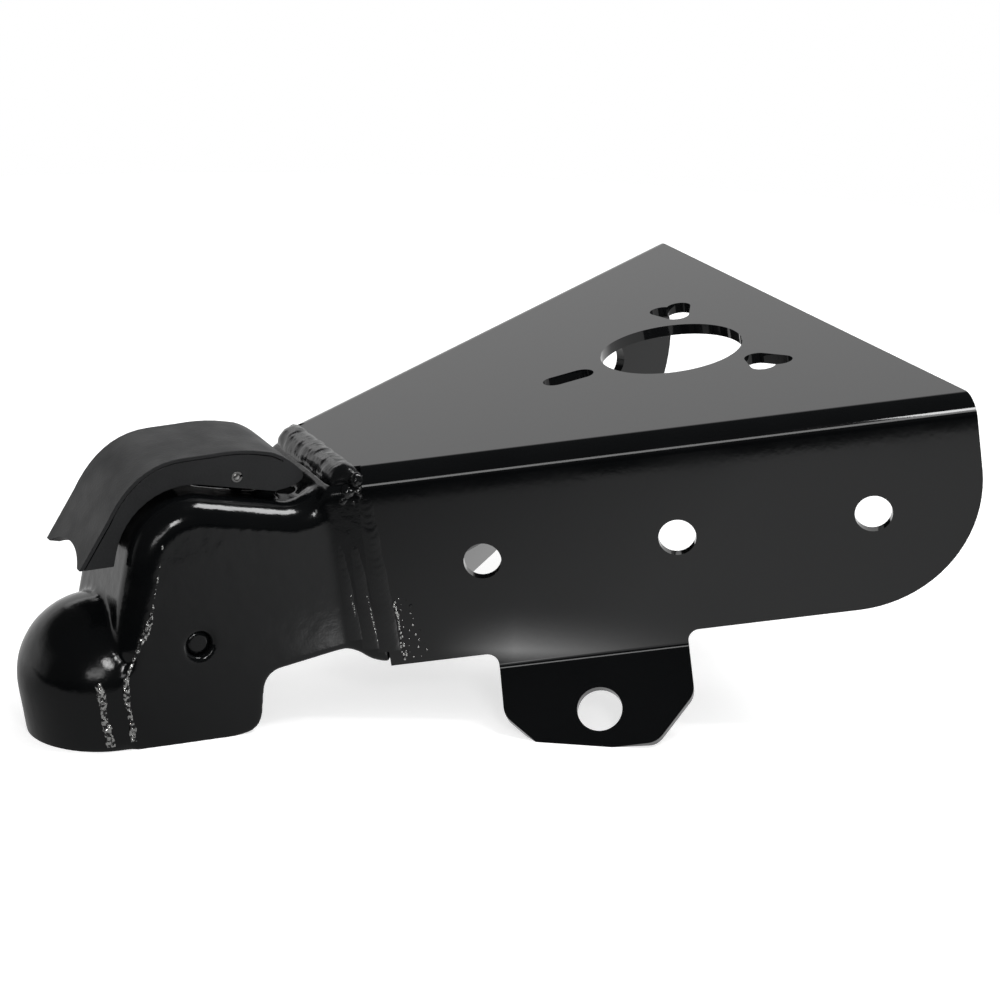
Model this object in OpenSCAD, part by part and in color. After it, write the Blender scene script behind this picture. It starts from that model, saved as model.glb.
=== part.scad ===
// Trailer coupling head: an A-frame coupler for a 50.8 mm (2 inch) ball.
// A cast head with a ball socket, a clamping jaw and a lever lock is welded to the front of a
// plate folded to fit over a 50 degree drawbar. Units are millimetres.
// The origin is the centre of the jack hole on the plate's top face. +X runs towards the trailer,
// +Y to the far side and +Z up, square to the plate. The part is symmetric about the plane y = 0.

/* [Plate] */
// Thickness of the folded steel plate
plate_t = 4.76; // [4:0.1:5.6]
// Inside radius of the long folds
bend_r = 4.2; // [3:0.1:6]
// Angle between each flange and the centre line
frame_angle = 25; // [23:0.5:27]
// Jack hole centre to the rear edge of the plate
plate_rear = 67; // [60:1:80]
// Jack hole centre to the front edge of the plate
plate_front = 168.5; // [167.5:0.1:169.5]
// Height of the flanges, measured from the top face
flange_h = 88.9; // [86:0.5:100]
// How much shorter the flange is than its fold line at the front
flange_trim = 5.8; // [5:0.1:6.6]
// Radius of the rear lower corner of the flange
flange_corner_r = 57; // [45:1:65]
// How far the flange runs on behind its fold line
flange_tail = 3; // [1:0.5:4]

/* [Plate holes] */
// Diameter of the jack hole
jack_d = 63.5; // [57:0.5:66]
// Width of the jack bolt slots
slot_w = 11; // [9:0.5:13]
// Inner end of the side slots, from the jack centre
slot_in = 45; // [44:0.5:48]
// Outer end of the side slots, from the jack centre
slot_out = 57; // [54:0.5:60]
// Middle of the front slot, from the jack centre
front_slot_mid = 50.8; // [49:0.2:54]
// Distance between the end centres of the front slot
front_slot_len = 12.6; // [8:0.2:16]
// Diameter of the frame bolt holes
bolt_d = 15.9; // [13:0.1:18]
// Spacing of the frame bolt holes along the flange
bolt_pitch = 82.55; // [76:0.05:86]
// Depth of the frame bolt holes below the top face
bolt_drop = 46; // [40:0.5:52]
// Last bolt hole to the rear end of the fold
bolt_rear = 43.6; // [36:0.1:50]

/* [Chain tabs] */
// Width of each chain tab along the flange
tab_w = 81.2; // [76:0.2:88]
// Middle of the tab to the rear end of the fold
tab_mid = 167.7; // [162:0.1:172]
// Straight length of the tab below its fold
tab_len = 38.8; // [36:0.2:46]
// Outward angle of the tab from the flange
tab_angle = 42; // [30:1:50]
// Diameter of the chain hole
chain_d = 19.2; // [16:0.2:23]
// Chain hole centre below the tab's fold
chain_drop = 21.4; // [18:0.2:25]
// Width of the cut corners of the tab
tab_cut_w = 18; // [12:0.5:22]
// Height of the cut corners of the tab
tab_cut_h = 19.4; // [14:0.2:24]

/* [Head casting] */
// Diameter of the tow ball
ball_d = 50.8; // [50.8:0.1:51.2]
// Clearance between ball and socket, on the radius
socket_gap = 0.5; // [0.4:0.05:0.8]
// Wall of the ball socket and of the side walls
shell_t = 8.5; // [8:0.1:9.5]
// Ball centre to the front edge of the plate
head_reach = 114; // [113:0.1:115]
// Ball centre below the plate's top face
ball_drop = 70; // [69:0.1:71]
// Bottom of the nose below the ball centre
nose_depth = 26.5; // [25:0.1:28]
// Pitch of the latch housing, lower at the rear
tilt = 20.6; // [20.2:0.1:21]
// Outside radius of the housing's shoulder
shoulder_r = 28; // [27:0.1:29]
// Radius of the rounding along the head's top and front edges
rim_r = 11; // [9:0.1:12]
// How far that rounding stands out from the side panel
rim_proud = 0.15; // [0.1:0.05:3]
// Thickness of the housing's top and front walls
deck_t = 9; // [8:0.1:10]

/* [Lock] */
// Diameter of the jaw pin
jaw_pin_d = 11.1; // [9:0.1:12]
// Diameter of the arm's pivot pin
arm_pin_d = 6.35; // [5.5:0.05:7]
// Diameter of the spring pin through the handle
roll_pin_d = 4.76; // [4:0.02:5]
// Width of the lock arm
arm_w = 12; // [10:0.5:13]
// Width of the jaw
jaw_w = 44; // [38:0.5:48]
// Lash between the arm's foot and the jaw's tail when locked
lock_lash = 1.2; // [1:0.05:1.5]
// Radial clearance of each pin in the piece that turns on it
run_fit = 0.06; // [0.03:0.01:0.1]
// Radial clearance of each pin in the piece that holds it
tight_fit = 0.02; // [0.01:0.01:0.03]
// Wire diameter of the jaw spring
wire_d = 2; // [1.6:0.1:2.2]
// Wire diameter of the lock spring
lock_wire_d = 1.6; // [1.2:0.1:1.7]

/* [Handle] */
// Width of the handle
handle_w = 48; // [44:0.5:50]
// Wall of the moulded handle
handle_wall = 3.2; // [2.6:0.1:4]
// Gap between the handle's lower edge and the casting
handle_gap = 4; // [3.6:0.1:4.4]
// Half width of the finger notch in the handle's front edge
notch_half = 20; // [14:0.5:21]
// Depth of the finger notch
notch_depth = 6.5; // [3:0.5:8]

/* [Welds] */
// Width of the bead along the plate's front edge
weld_w = 12.2; // [11:0.1:12.8]
// How far that bead stands above the plate
weld_crown = 1.9; // [1.2:0.1:2.4]
// Width of the welds down the flange edges
seam_w = 11; // [8:0.5:13]
// Crown of the welds down the flange edges
seam_crown = 1.8; // [1:0.1:2.4]

/* [Hidden] */
$fn = 64;
big = 400;
seat_gap = 0.2;

bend_out = bend_r + plate_t;
fold_len = (plate_front + plate_rear) / cos(frame_angle);
flange_len = fold_len - flange_trim;

socket_r = ball_d / 2 + socket_gap;
nose_r = socket_r + shell_t;
// The side panels stand just proud of the nose, and the flanges start where the panels flare out
panel_y = nose_r + 0.15;
flare = 6.45;
fold_front_y = panel_y + flare - bend_out / cos(frame_angle);
fold_rear_y = fold_front_y + (plate_front + plate_rear) * tan(frame_angle);

ball_x = -plate_front - head_reach;
ball_z = -ball_drop;
nose_z = ball_z - nose_depth;

// The housing has a frame of its own, turned by the tilt about the centre of its shoulder
hub_dx = 41.55;
hub_dz = 47.2;
hub_x = ball_x + hub_dx;
hub_z = ball_z + hub_dz;
function tilted(u, n) = [hub_x + u * cos(tilt) + n * sin(tilt), hub_z - u * sin(tilt) + n * cos(tilt)];
rim_y = panel_y + rim_proud - rim_r;
rim_line = shoulder_r - rim_r;
rim_tail = 36;
rim_foot = 39;
housing_tail = 54;

jaw_x = ball_x + 36.5;
jaw_z = ball_z + 12.7;
arm_x = ball_x + 86;
arm_z = ball_z + 68.5;
roll_x = ball_x + 68.2;
roll_z = ball_z + 76.4;
lug_r = arm_pin_d / 2 + 2.4;
lug_in = arm_w / 2 + 5.8;
lug_t = handle_w / 2 - handle_wall - lug_in - 3;

function rot2(p, a) = [p[0] * cos(a) - p[1] * sin(a), p[0] * sin(a) + p[1] * cos(a)];
function arc(c, r, a0, a1, n = 10) =
    [for (i = [0:n]) c + r * [cos(a0 + (a1 - a0) * i / n), sin(a0 + (a1 - a0) * i / n)]];
function bezier(p0, p1, p2, p3, n = 10) =
    [for (i = [0:n]) let (t = i / n, s = 1 - t)
        s * s * s * p0 + 3 * s * s * t * p1 + 3 * s * t * t * p2 + t * t * t * p3];

// Extrudes an x, z outline across the part, between y0 and y1
module across(y0, y1) {
    translate([0, y1, 0]) rotate([90, 0, 0]) linear_extrude(y1 - y0) children();
}

// Puts its child in the tilted frame of the latch housing
module housing_frame() {
    translate([hub_x, 0, hub_z]) rotate([0, tilt, 0]) children();
}

// A round bar across the part at x, z
module cross_bar(x, z, d, y0, y1) {
    translate([x, y1, z]) rotate([90, 0, 0]) cylinder(d = d, h = y1 - y0);
}

module both_sides() {
    children();
    mirror([0, 1, 0]) children();
}

// The near flange's frame: +X along the fold towards the rear, +Y inwards, from the fold's rear end
module flange_frame() {
    translate([plate_rear, -fold_rear_y, 0]) rotate([0, 0, -frame_angle]) children();
}

// A slot through the plate between two end centres
module plate_slot(p, q) {
    d = q - p;
    translate([p[0], p[1], -plate_t - 1]) rotate([0, 0, atan2(d[1], d[0])]) {
        cylinder(d = slot_w, h = plate_t + 2);
        translate([norm(d), 0, 0]) cylinder(d = slot_w, h = plate_t + 2);
        translate([0, -slot_w / 2, 0]) cube([norm(d), slot_w, plate_t + 2]);
    }
}

// Section of one fold, seen from the rear end: top strip, bend and flange
module fold_section(depth) {
    strip = bend_out + 4;
    translate([0, -plate_t]) square([strip, plate_t]);
    translate([-bend_out, -depth]) square([plate_t, depth - bend_out]);
    translate([0, -bend_out]) intersection() {
        difference() {
            circle(bend_out);
            circle(bend_r);
        }
        translate([-2 * bend_out, 0]) square(2 * bend_out);
    }
}

// Side view of the flange, with its rounded rear corner
module flange_outline() {
    r = flange_corner_r;
    translate([-flange_len, -flange_h]) square([flange_len + flange_tail - r, flange_h + 1]);
    translate([-r, -flange_h + r]) square([r + flange_tail, flange_h - r + 1]);
    translate([flange_tail - r, -flange_h + r]) circle(r, $fn = 96);
}

// Outline of the tab's flat, below its fold, with rounded vertices
module tab_outline() {
    h = tab_w / 2;
    r = 9;
    difference() {
        polygon([[-h, 1], [-h, -tab_len + tab_cut_h], [-h + tab_cut_w, -tab_len],
            [h - tab_cut_w, -tab_len], [h, -tab_len + tab_cut_h], [h, 1]]);
        for (s = [-1, 1]) {
            tab_vertex([s * h, -tab_len + tab_cut_h], [0, 1], [-s * tab_cut_w, -tab_cut_h], r);
            tab_vertex([s * (h - tab_cut_w), -tab_len], [s * tab_cut_w, tab_cut_h], [-s, 0], r);
        }
    }
}

// What rounding takes off a vertex p whose two sides run towards a and b
module tab_vertex(p, a, b, r) {
    ua = a / norm(a);
    ub = b / norm(b);
    mid = (ua + ub) / norm(ua + ub);
    half = acos(ua * ub) / 2;
    c = p + mid * r / sin(half);
    difference() {
        polygon([p - 0.01 * mid, p + ua * r / tan(half), c, p + ub * r / tan(half)]);
        circle_at(c, r);
    }
}

module circle_at(c, r) {
    translate(c) circle(r);
}

// The tab of one flange: a short neck in line with the flange, a fold and the flat
module chain_tab() {
    neck = 5;
    in_r = 5;
    out_r = in_r + plate_t;
    lap = 6;
    translate([-tab_mid, -bend_out, -flange_h]) {
        rotate([90, 0, 90]) translate([0, 0, -tab_w / 2]) linear_extrude(tab_w) {
            translate([0, -neck]) square([plate_t, neck + lap]);
            translate([-in_r, -neck]) intersection() {
                difference() {
                    circle(out_r);
                    circle(in_r);
                }
                polygon([[0, 0], [2 * out_r, 0], 2 * out_r * [cos(tab_angle), -sin(tab_angle)]]);
            }
        }
        for (s = [-1, 1]) {
            translate([s * tab_w / 2, plate_t, 0]) rotate([90, 0, 0]) linear_extrude(plate_t)
                scale([s, 1]) difference() {
                    translate([-0.5, -neck]) square([neck + 0.5, neck + 1]);
                    circle_at([neck, -neck], neck);
                }
        }
        translate([0, -in_r, -neck]) rotate([-tab_angle, 0, 0]) translate([0, out_r, 0])
            rotate([90, 0, 0]) linear_extrude(plate_t) difference() {
                tab_outline();
                circle_at([0, -chain_drop], chain_d / 2);
            }
    }
}

// Plan of the flange: its rear edge starts in line with the plate's and slants back at the fold
module flange_plan() {
    strip = bend_out + 4;
    polygon([[-flange_len - 1, -2 * bend_out], [flange_tail, -2 * bend_out],
        [flange_tail, -bend_out], [0, 0], [-strip * tan(frame_angle), strip],
        [-flange_len - 1, strip]]);
}

module flange_blank() {
    intersection() {
        rotate([90, 0, 90]) translate([0, 0, -flange_len]) linear_extrude(flange_len + 5)
            fold_section(flange_h);
        translate([0, bend_out + 6, 0]) rotate([90, 0, 0]) linear_extrude(3 * bend_out)
            flange_outline();
        translate([0, 0, -big / 2]) linear_extrude(big) flange_plan();
    }
}

module flange() {
    difference() {
        union() {
            flange_blank();
            chain_tab();
        }
        for (i = [0:2]) {
            translate([-bolt_rear - i * bolt_pitch, 0, -bolt_drop]) rotate([90, 0, 0])
                cylinder(d = bolt_d, h = 3 * bend_out);
        }
    }
}

module plate_flat() {
    translate([0, 0, -plate_t]) linear_extrude(plate_t) polygon([
        [-plate_front, -fold_front_y], [plate_rear, -fold_rear_y],
        [plate_rear, fold_rear_y], [-plate_front, fold_front_y]]);
}

// The folded plate: a wedge-shaped top with the jack holes, two flanges and their chain tabs
module frame_plate() {
    color("#3a3b3d") difference() {
        union() {
            plate_flat();
            both_sides() flange_frame() flange();
        }
        translate([0, 0, -plate_t - 1]) cylinder(d = jack_d, h = plate_t + 2, $fn = 128);
        plate_slot([-front_slot_mid - front_slot_len / 2, 0], [-front_slot_mid + front_slot_len / 2, 0]);
        both_sides() {
            plate_slot(slot_in * [cos(60), sin(60)], slot_out * [cos(60), sin(60)]);
            plate_slot(slot_in * [cos(60), sin(60)], slot_in * [cos(60), sin(60)] + [-2.5, 10.8]);
        }
    }
}

// Side outline of the lower block and the tail that runs back to the plate
foot_z = ball_z - 33;
arch_z = ball_z - 8.7;
tail_z = -flange_h + 1.5;
tail_x = -plate_front;
tail_top = -plate_t - seat_gap;
block_rear = ball_x + 58.5;
heel = [block_rear - 9, foot_z + 9];
crook = [block_rear + 11, arch_z - 9];
// The tail's lower edge steps down to the flange in an S of two arcs
step_x = ball_x + 96.5;
step_w = 20;
step_h = arch_z - tail_z;
step_r = (step_w * step_w + step_h * step_h) / (4 * step_h);
module lower_outline(x_front, x_rear, top, ramp) {
    difference() {
        union() {
            polygon(concat(
                [[x_front, ball_z - 25.7], [ball_x + 41.5, foot_z], [heel[0], foot_z], heel,
                 heel + 9 * [cos(-12), sin(-12)], crook + 9 * [cos(165), sin(165)], crook,
                 [crook[0], arch_z], [step_x, arch_z], [step_x, arch_z - step_r],
                 [step_x + step_w / 2, arch_z - step_h / 2], [step_x + step_w, tail_z + step_r],
                 [step_x + step_w, tail_z]],
                x_rear > step_x + step_w ? [[x_rear, tail_z]] : [],
                [[max(x_rear, step_x + step_w), top]],
                ramp,
                [tilted(0, 0), [ball_x + 9.8, ball_z + 16], [x_front + 0.5, ball_z + 8]]));
            circle_at(heel, 9);
            intersection() {
                circle_at([step_x + step_w, tail_z + step_r], step_r);
                translate([step_x, tail_z - 1]) square([step_w, step_r]);
            }
        }
        circle_at(crook, 9);
        circle_at([step_x, arch_z - step_r], step_r);
    }
}
deck_ramp = bezier([tail_x - 9, tail_top], [tail_x - 13, tail_top - 1],
    [tail_x - 14.5, tail_top - 7.5], tilted(45, shoulder_r - 1.5), 6);
side_ramp = [[tail_x - 6, tail_top - 6], tilted(housing_tail - 3, rim_line - 2)];

// Upper housing seen from the side: out is how far it runs ahead of the hub and above it
module housing_outline(out) {
    translate([hub_x, hub_z]) rotate(-tilt) {
        circle(out, $fn = 96);
        translate([-out, -rim_foot - 3]) square([out, rim_foot + 3]);
        translate([0, -30]) square([housing_tail, out + 30]);
    }
}

// Rounding along the housing's front and top edges, one side, turned up at its rear end
module rim() {
    housing_frame() translate([0, -rim_y, 0]) {
        rotate([90, 0, 0]) rotate([0, 0, 90]) rotate_extrude(angle = 90) translate([rim_line, 0])
            circle(rim_r, $fn = 48);
        translate([-rim_line, 0, -rim_foot]) cylinder(r = rim_r, h = rim_foot, $fn = 48);
        translate([-rim_line, 0, -rim_foot]) sphere(rim_r, $fn = 48);
        translate([0, 0, rim_line]) rotate([0, 90, 0]) cylinder(r = rim_r, h = rim_tail, $fn = 48);
        translate([rim_tail, 0, rim_line + rim_bend]) rotate([90, 0, 0]) rotate([0, 0, -90])
            rotate_extrude(angle = rim_lift) translate([rim_bend, 0]) circle(rim_r, $fn = 48);
        translate([rim_tail + rim_bend * sin(rim_lift), 0,
                rim_line + rim_bend * (1 - cos(rim_lift))]) rotate([0, 90 - rim_lift, 0]) {
            cylinder(r = rim_r, h = 3, $fn = 48);
            translate([0, 0, 3]) sphere(rim_r, $fn = 48);
        }
    }
}
rim_bend = 27;
rim_lift = 40;

// Ball housing at the nose: a dome on a short skirt with a rounded lower edge
module nose() {
    edge = 7;
    translate([ball_x, 0, ball_z]) {
        sphere(nose_r, $fn = 96);
        rotate_extrude($fn = 96) difference() {
            translate([0, -nose_depth]) square([nose_r, nose_depth]);
            translate([nose_r - edge, -nose_depth + edge]) difference() {
                translate([0, -edge - 1]) square(edge + 1);
                circle(edge);
            }
        }
    }
}

// The tail flares out in line with the flanges, and its tongue fits inside the folded plate
function fold_point(a, b) =
    [plate_rear, -fold_rear_y] + rot2([a, b], -frame_angle);
function mirrored(half) =
    concat(half, [for (i = [len(half) - 1:-1:0]) [half[i][0], -half[i][1]]]);

// Section of one side of the tail: flat top, rounded upper corner and upright outer face
module tail_section(face, r) {
    depth = tail_top - tail_z;
    translate([face, tail_z]) square([14 - face, depth - r]);
    translate([face + r, tail_z]) square([14 - face - r, depth]);
    translate([face + r, tail_top - r]) circle(r);
}

module tail() {
    wing = 22;
    lap = 24;
    intersection() {
        across(-big / 2, big / 2) lower_outline(ball_x - 5, 0, tail_top, deck_ramp);
        union() {
            both_sides() flange_frame() {
                translate([-flange_len - seat_gap - wing, 0, 0]) rotate([90, 0, 90])
                    linear_extrude(wing) tail_section(-bend_out, 4.5);
                translate([-flange_len - seat_gap - 1, 0, 0]) rotate([90, 0, 90])
                    linear_extrude(lap + 1) tail_section(-bend_r + seat_gap, bend_r - seat_gap);
            }
            translate([0, 0, tail_z]) linear_extrude(tail_top - tail_z)
                polygon(mirrored([fold_point(-flange_len - wing, 8),
                    fold_point(-flange_len + lap, 8)]));
        }
    }
}

// What the inside of the head leaves open: the latch space and the channel behind it
module head_hollow() {
    mouth = 38;
    lip = ball_z - 60;
    inner = shoulder_r - deck_t;
    ceiling = tail_top - shell_t;
    across(-socket_r, socket_r) {
        circle_at([hub_x, hub_z], inner);
        polygon(concat(
            [[ball_x + 12.5, lip], [ball_x + 12.5, ball_z + 4]],
            [[ball_x, ball_z] + (socket_r - 0.6) * [cos(mouth), sin(mouth)]],
            [for (a = [mouth + 10:10:mouth + 20]) [ball_x, ball_z] + nose_r * [cos(a), sin(a)]],
            [tilted(0.1 - inner, 0), tilted(0, inner - 0.1), tilted(housing_tail - 4, inner - 0.1),
             [tail_x - 6, ceiling], [0, ceiling], [0, lip]]));
    }
    translate([0, 0, lip]) linear_extrude(ceiling - lip) polygon(mirrored([
        [tail_x - 30, -socket_r], fold_point(-flange_len - shell_t, -bend_out + shell_t),
        fold_point(-flange_len + 60, -bend_r + seat_gap + shell_t)]));
}

module head_casting() {
    color("#17181a") difference() {
        union() {
            nose();
            across(-panel_y + 2.9, panel_y - 2.9)
                lower_outline(ball_x - 5, tail_x, tail_top, deck_ramp);
            across(-panel_y, panel_y) {
                lower_outline(ball_x + 1.5, tail_x - 4, tail_top - 6, side_ramp);
                housing_outline(rim_line);
            }
            tail();
            across(-rim_y, rim_y) housing_outline(shoulder_r - 0.15);
            both_sides() {
                rim();
                arm_lug();
            }
        }
        translate([ball_x, 0, ball_z]) {
            sphere(socket_r, $fn = 96);
            translate([0, 0, -60]) cylinder(r = socket_r, h = 60, $fn = 96);
        }
        head_hollow();
        // Slot in the deck for the lock arm
        housing_frame() translate([2, -arm_w / 2 - 2.5, shoulder_r - deck_t - 8])
            cube([46, arm_w + 5, 30]);
        cross_bar(jaw_x, jaw_z, jaw_pin_d + 2 * tight_fit, -big / 2, big / 2);
        cross_bar(arm_x, arm_z, arm_pin_d + 2 * tight_fit, -big / 2, big / 2);
    }
}

// Lug on the deck that carries one end of the arm's pivot pin, under the handle. Its stem leans
// forward, clear of the handle's rear wall when that swings down
module arm_lug() {
    translate([0, -lug_in - lug_t, 0]) {
        cross_bar(arm_x, arm_z, 2 * lug_r, 0, lug_t);
        across(0, lug_t) polygon([[arm_x, arm_z], tilted(28.6, 34), tilted(27.5, shoulder_r - 2),
            tilted(35.5, shoulder_r - 2), tilted(37, 31)]);
    }
}

// Weld along the plate's front edge: a bead on the head's tail that wraps over the two folds
module weld_top() {
    r = weld_w / 2;
    end_y = fold_front_y + 2;
    bead_r = 4.4;
    bead_mid = bend_out - bead_r + 1.4;
    color("#26272a") difference() {
        union() {
            translate([-plate_front - 2.4, 0, weld_crown - r]) {
                cross_bar(0, 0, weld_w, -end_y, end_y);
                both_sides() translate([0, end_y, 0]) sphere(r);
            }
            both_sides() flange_frame() translate([-flange_len - 1, 0, -bend_out]) {
                rotate([0, 90, 0]) rotate([0, 0, 180]) rotate_extrude(angle = 90)
                    translate([bead_mid, 0]) circle(bead_r, $fn = 48);
                translate([0, 0, bead_mid]) sphere(bead_r, $fn = 48);
                translate([0, -bead_mid, 0]) sphere(bead_r, $fn = 48);
            }
        }
        plate_flat();
        both_sides() flange_frame() flange_blank();
        tail();
        translate([-big / 2, -big / 2, -2 * bend_out - big]) cube(big);
        translate([tail_x - 40, -rim_y, -big / 2]) cube([40.01, 2 * rim_y, big / 2 + tail_top]);
    }
}

// Low weld over the seam between the head and one flange, lying flat on both
module seam() {
    r = (seam_w * seam_w / 4 + seam_crown * seam_crown) / (2 * seam_crown);
    z0 = tail_z + 1;
    color("#26272a") flange_frame() translate([-flange_len - 0.5, -bend_out, 0])
        intersection() {
            translate([0, r - seam_crown, z0]) cylinder(r = r, h = -2 * bend_out - z0, $fn = 96);
            translate([-big / 2, -big, -big / 2]) cube(big);
        }
}

module weld_near() {
    seam();
}

module weld_far() {
    mirror([0, 1, 0]) seam();
}

// The jaw closes the rear of the socket under the ball, and its tail is held down by the arm
foot_reach = 46.3;
foot_dir = 248.2;
foot_lap = 3;
function from_arm(r, t) = [arm_x, arm_z] + rot2([r, -t], foot_dir);
module ball_jaw() {
    face_in = socket_r - 4;
    face_out = socket_r + 8.5;
    tail_top = foot_reach + lock_lash;
    spring_half = 8.6;
    color("#5b5d61") difference() {
        across(-jaw_w / 2, jaw_w / 2) difference() {
            union() {
                polygon(concat(
                    arc([ball_x, ball_z], face_out, -52, -18, 6),
                    [[jaw_x + 8, jaw_z - 6], [jaw_x - 2, jaw_z + 9.6]],
                    arc([ball_x, ball_z], face_in, 6, -52, 6)));
                circle_at([jaw_x, jaw_z], 9.8);
            }
            circle_at([jaw_x, jaw_z], jaw_pin_d / 2 + run_fit);
        }
        translate([ball_x, 0, ball_z]) sphere(socket_r, $fn = 96);
        translate([jaw_x - 11, -spring_half, jaw_z - 9]) cube([40, 2 * spring_half, 40]);
    }
    color("#5b5d61") difference() {
        across(-jaw_w / 2 + 8, jaw_w / 2 - 8) polygon([
            [jaw_x + 5, jaw_z - 9.7], [jaw_x - 9, jaw_z - 14], [jaw_x - 4, jaw_z - 19],
            from_arm(tail_top + 16, -6), from_arm(tail_top + 6, -11), from_arm(tail_top, -10),
            from_arm(tail_top, 0), from_arm(tail_top + 7, 0)]);
        cross_bar(jaw_x, jaw_z, jaw_pin_d + 2 * run_fit, -big / 2, big / 2);
        translate([ball_x, 0, ball_z]) sphere(socket_r, $fn = 96);
    }
}

module jaw_pin() {
    color("#8d8f93") cross_bar(jaw_x, jaw_z, jaw_pin_d, -panel_y + 2.5, panel_y - 2.5);
}

// The lock arm: a bar under the handle, a hub on its pivot pin and a leg down to the jaw's tail
module lock_arm() {
    color("#6c6e72") across(-arm_w / 2, arm_w / 2) difference() {
        union() {
            circle_at([arm_x, arm_z], lug_r);
            circle_at([roll_x, roll_z], 5.2);
            polygon([[arm_x - 1, arm_z - lug_r + 0.2], [arm_x + 1.5, arm_z + lug_r - 0.6],
                [roll_x + 1, roll_z + 5.1], [roll_x - 17, roll_z + 8.6],
                [roll_x - 20, roll_z + 4.4], [roll_x - 1, roll_z - 5.1]]);
            polygon([from_arm(1, 4.2), from_arm(foot_reach - 12, 4.6), from_arm(foot_reach, 6.5),
                from_arm(foot_reach, -foot_lap), from_arm(foot_reach - 12, -foot_lap),
                from_arm(1, -lug_r + 0.8)]);
        }
        circle_at([arm_x, arm_z], arm_pin_d / 2 + run_fit);
        circle_at([roll_x, roll_z], roll_pin_d / 2 + tight_fit);
    }
}

module arm_pin() {
    color("#8d8f93") cross_bar(arm_x, arm_z, arm_pin_d, -lug_in - lug_t - 0.5, lug_in + lug_t + 0.5);
}

// A round wire swept along points: rings across the path, closed at both ends
module wire(path, d, sides = 8) {
    n = len(path);
    ring = [for (i = [0:n - 1])
        let (t = path[min(i + 1, n - 1)] - path[max(i - 1, 0)],
             a = cross(t, abs(t[1]) > 0.9 * norm(t) ? [1, 0, 0] : [0, 1, 0]),
             ua = a / norm(a),
             ub = cross(t, ua) / norm(t))
        for (k = [0:sides - 1])
            path[i] + d / 2 * (cos(k * 360 / sides) * ua + sin(k * 360 / sides) * ub)];
    polyhedron(points = ring, faces = concat(
        [[for (k = [0:sides - 1]) k]],
        [[for (k = [sides - 1:-1:0]) (n - 1) * sides + k]],
        [for (i = [0:n - 2], k = [0:sides - 1]) let (k2 = (k + 1) % sides)
            [i * sides + k, (i + 1) * sides + k, (i + 1) * sides + k2, i * sides + k2]]));
}

// Torsion spring about the y axis at x, z: a coil from y0 with a straight leg at each end
function torsion_path(x, z, r, y0, pitch, a0, turns, leg0, leg1, steps = 14) =
    let (n = round(turns * steps), a1 = a0 + turns * 360,
         p0 = [x + r * cos(a0), y0, z + r * sin(a0)],
         p1 = [x + r * cos(a1), y0 + turns * pitch, z + r * sin(a1)])
    concat([p0 + leg0 * [sin(a0), 0, -cos(a0)]],
        [for (i = [0:n]) let (a = a0 + i * 360 / steps)
            [x + r * cos(a), y0 + i / steps * pitch, z + r * sin(a)]],
        [p1 + leg1 * [-sin(a1), 0, cos(a1)]]);

// Opens the jaw once the arm lets go of its tail
module jaw_spring() {
    r = jaw_pin_d / 2 + 0.4 + wire_d / 2;
    turns = 5.3375;
    pitch = wire_d + 0.5;
    color("#9a9ca0") wire(torsion_path(jaw_x, jaw_z, r, -turns * pitch / 2, pitch, 180, turns,
        14, 12), wire_d);
}

// Presses the arm and the handle back down
module lock_spring() {
    r = arm_pin_d / 2 + 0.4 + lock_wire_d / 2;
    turns = 1.5;
    pitch = lock_wire_d + 0.25;
    color("#9a9ca0") wire(torsion_path(arm_x, arm_z, r, arm_w / 2 + 0.7 + lock_wire_d / 2, pitch,
        -90 - tilt, turns, 9, 9), lock_wire_d);
}

// Side outline of the handle in the housing's frame, as points along its top and lower edges.
// They are given for a 28 mm shoulder and grow with it
grip = shoulder_r / 28;
grip_tip = grip * [-46.6, -9.1];
grip_top = concat(
    [grip_tip],
    grip * bezier([-38.3, 13], [-34, 27.5], [-26, 39.2], [-10, 42.9], 10),
    grip * bezier([2, 45.7], [7, 47], [14, 48.9], [24, 48.7], 6),
    grip * bezier([28, 48.6], [33, 47.9], [38.3, 45.2], [42.4, 42.2], 7));
grip_low = shoulder_r + handle_gap;
function inward(path, d) = [for (i = [0:len(path) - 1])
    let (t = path[min(i + 1, len(path) - 1)] - path[max(i - 1, 0)])
    path[i] + d * [t[1], -t[0]] / norm(t)];

module grip_outline() {
    polygon(concat(grip_top,
        bezier(grip * [43.4, 41.2], grip * [45.6, 38.6], grip * [42.5, 35], [grip * 33, grip_low], 6),
        arc([0, 0], grip_low, 90, 180, 12),
        [[-grip_low, -5.9]]));
}

module grip_hollow() {
    inner = inward(grip_top, handle_wall);
    keep = [for (i = [0:len(inner) - 1]) if (inner[i][0] < 39) inner[i]];
    pivot = rot2([arm_x - hub_x, arm_z - hub_z], tilt);
    polygon(concat([[-38, -30]], keep, [[39, pivot[1] + 0.6], [46, pivot[1] + 0.6], [46, 20],
        [-20, 0]]));
    circle_at(pivot, lug_r + 0.45);
}

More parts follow.
